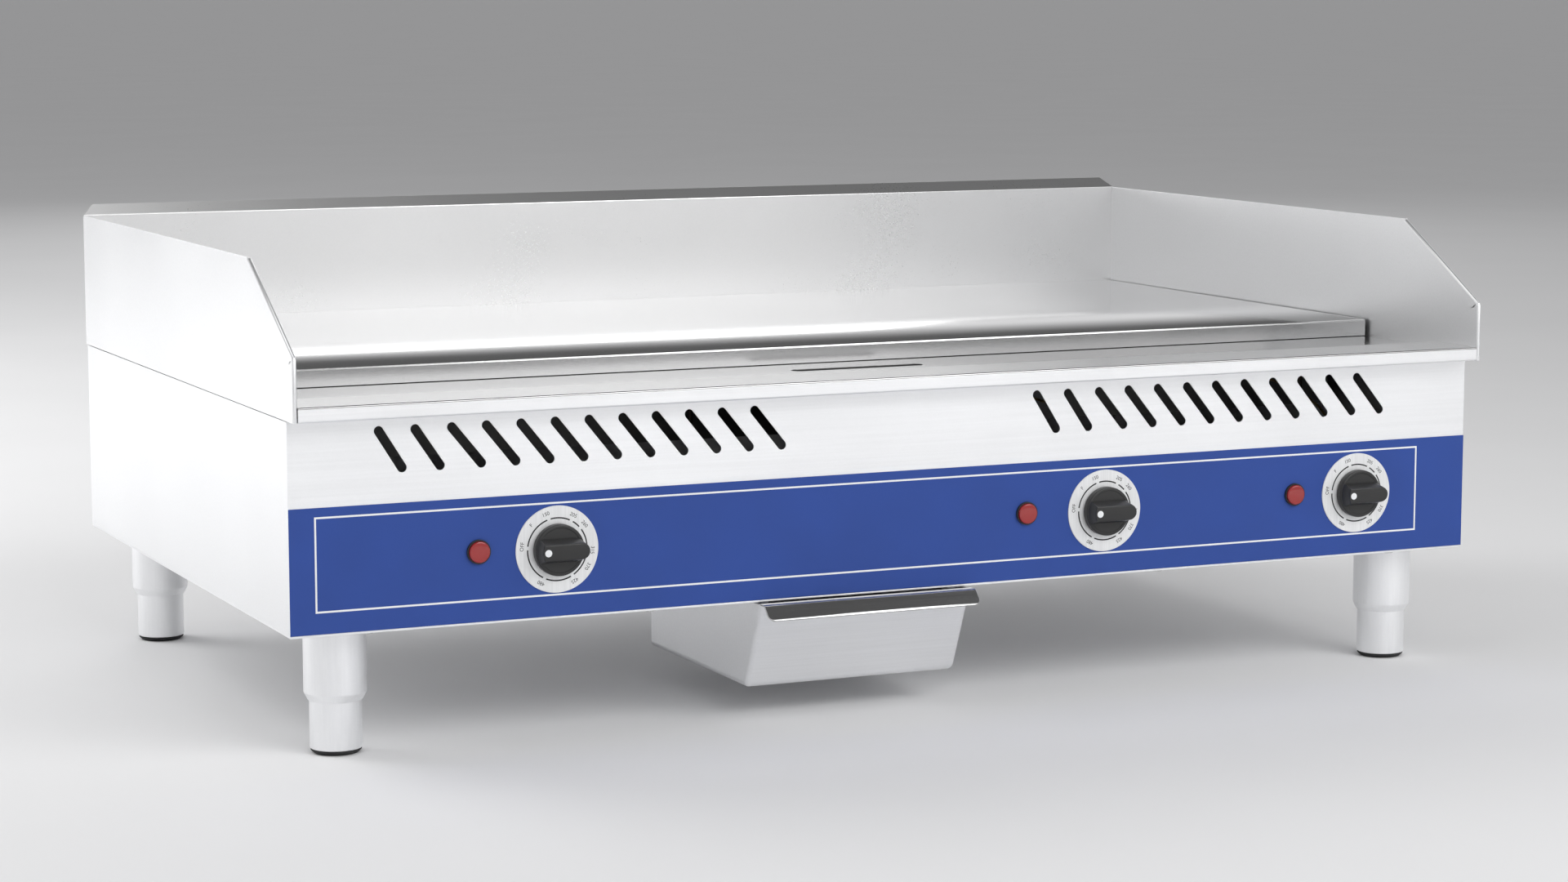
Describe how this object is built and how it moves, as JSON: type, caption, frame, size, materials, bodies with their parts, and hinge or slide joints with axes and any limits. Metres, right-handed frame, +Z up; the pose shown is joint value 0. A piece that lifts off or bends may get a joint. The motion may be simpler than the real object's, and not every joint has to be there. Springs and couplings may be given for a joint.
{
  "type": "countertop electric griddle",
  "caption": "Countertop electric griddle with a polished plate, splash guards, coloured control band, turning knobs, adjustable legs and a pull-out drip tray.",
  "frame": {"origin": "middle of the bounding box, on the surface that the feet stand on", "axes": "+X to the user's right along the front, +Y from the front to the back splash, +Z up"},
  "size_m": [0.9144, 0.5622, 0.3381],
  "materials": {
    "satin_steel": "satin",
    "side_steel": "satin",
    "bright_steel": "fine brushed, bright",
    "plate_steel": "ground and polished",
    "inner_steel": "mill finish",
    "screw_steel": "bright",
    "band_print": "printed film, satin",
    "element_sheath": "oxidised",
    "mineral_wool": "fibrous",
    "black_plastic": "moulded",
    "knob_plastic": "fine moulded texture",
    "brass": "satin",
    "dial_print": "printed, brushed",
    "lamp_red": "translucent, faceted",
    "lead_insulation": "satin",
    "leg_steel": "satin",
    "glide_rubber": "matte"
  },
  "bodies": {
    "griddle": {"bottom_pan": "satin_steel", "back_panel": "satin_steel", "front_panel": "satin_steel", "side_panel_left": "side_steel", "side_panel_right": "side_steel", "guard_left": "side_steel", "guard_right": "side_steel", "front_trough": "bright_steel", "back_splash": "bright_steel", "griddle_plate": "plate_steel", "drain_chute": "inner_steel", "plate_rails": "inner_steel", "element_clamps": "inner_steel", "clamp_nuts": "inner_steel", "heat_shield": "inner_steel", "high_limit_switch": "inner_steel", "tray_runners": "inner_steel", "leg_nuts": "inner_steel", "case_screws": "screw_steel", "control_fascia": "band_print", "element_1": "element_sheath", "element_2": "element_sheath", "element_3": "element_sheath", "insulation_blanket": "mineral_wool", "thermostat_1": "black_plastic", "thermostat_2": "black_plastic", "thermostat_3": "black_plastic", "terminal_block": "black_plastic", "lamp_bodies": "black_plastic", "cable_gland": "black_plastic", "bulb_1": "brass", "bulb_2": "brass", "bulb_3": "brass", "dial_1": "dial_print", "dial_2": "dial_print", "dial_3": "dial_print", "lamp_lens_1": "lamp_red", "lamp_lens_2": "lamp_red", "lamp_lens_3": "lamp_red", "wiring_loom": "lead_insulation", "leg_front_left": "leg_steel", "leg_front_right": "leg_steel", "leg_rear_left": "leg_steel", "leg_rear_right": "leg_steel"},
    "knob_1_body": {"knob_1": "knob_plastic", "shaft_1": "brass"},
    "knob_2_body": {"knob_2": "knob_plastic", "shaft_2": "brass"},
    "knob_3_body": {"knob_3": "knob_plastic", "shaft_3": "brass"},
    "tray": {"drip_tray": "satin_steel", "tray_handle": "bright_steel"},
    "foot_front_left_body": {"foot_front_left": "leg_steel", "glide_front_left": "glide_rubber"},
    "foot_front_right_body": {"foot_front_right": "leg_steel", "glide_front_right": "glide_rubber"},
    "foot_rear_left_body": {"foot_rear_left": "leg_steel", "glide_rear_left": "glide_rubber"},
    "foot_rear_right_body": {"foot_rear_right": "leg_steel", "glide_rear_right": "glide_rubber"}
  },
  "joints": [
    {"name": "knob_1_turn", "type": "hinge", "parent": "griddle", "child": "knob_1_body", "pos_m": [-0.2712, -0.2687, 0.1331], "axis": [0, 1, 0], "range_deg": [0, 291]},
    {"name": "knob_2_turn", "type": "hinge", "parent": "griddle", "child": "knob_2_body", "pos_m": [0.1476, -0.2687, 0.1331], "axis": [0, 1, 0], "range_deg": [0, 291]},
    {"name": "knob_3_turn", "type": "hinge", "parent": "griddle", "child": "knob_3_body", "pos_m": [0.3611, -0.2687, 0.1331], "axis": [0, 1, 0], "range_deg": [0, 291]},
    {"name": "tray_slide", "type": "slide", "parent": "griddle", "child": "tray", "axis": [0, -1, 0], "range_m": [0, 0.17]},
    {"name": "foot_front_left_screw", "type": "slide", "parent": "griddle", "child": "foot_front_left_body", "axis": [0, 0, -1], "range_m": [0, 0.02]},
    {"name": "foot_front_right_screw", "type": "slide", "parent": "griddle", "child": "foot_front_right_body", "axis": [0, 0, -1], "range_m": [0, 0.02]},
    {"name": "foot_rear_left_screw", "type": "slide", "parent": "griddle", "child": "foot_rear_left_body", "axis": [0, 0, -1], "range_m": [0, 0.02]},
    {"name": "foot_rear_right_screw", "type": "slide", "parent": "griddle", "child": "foot_rear_right_body", "axis": [0, 0, -1], "range_m": [0, 0.02]}
  ]
}
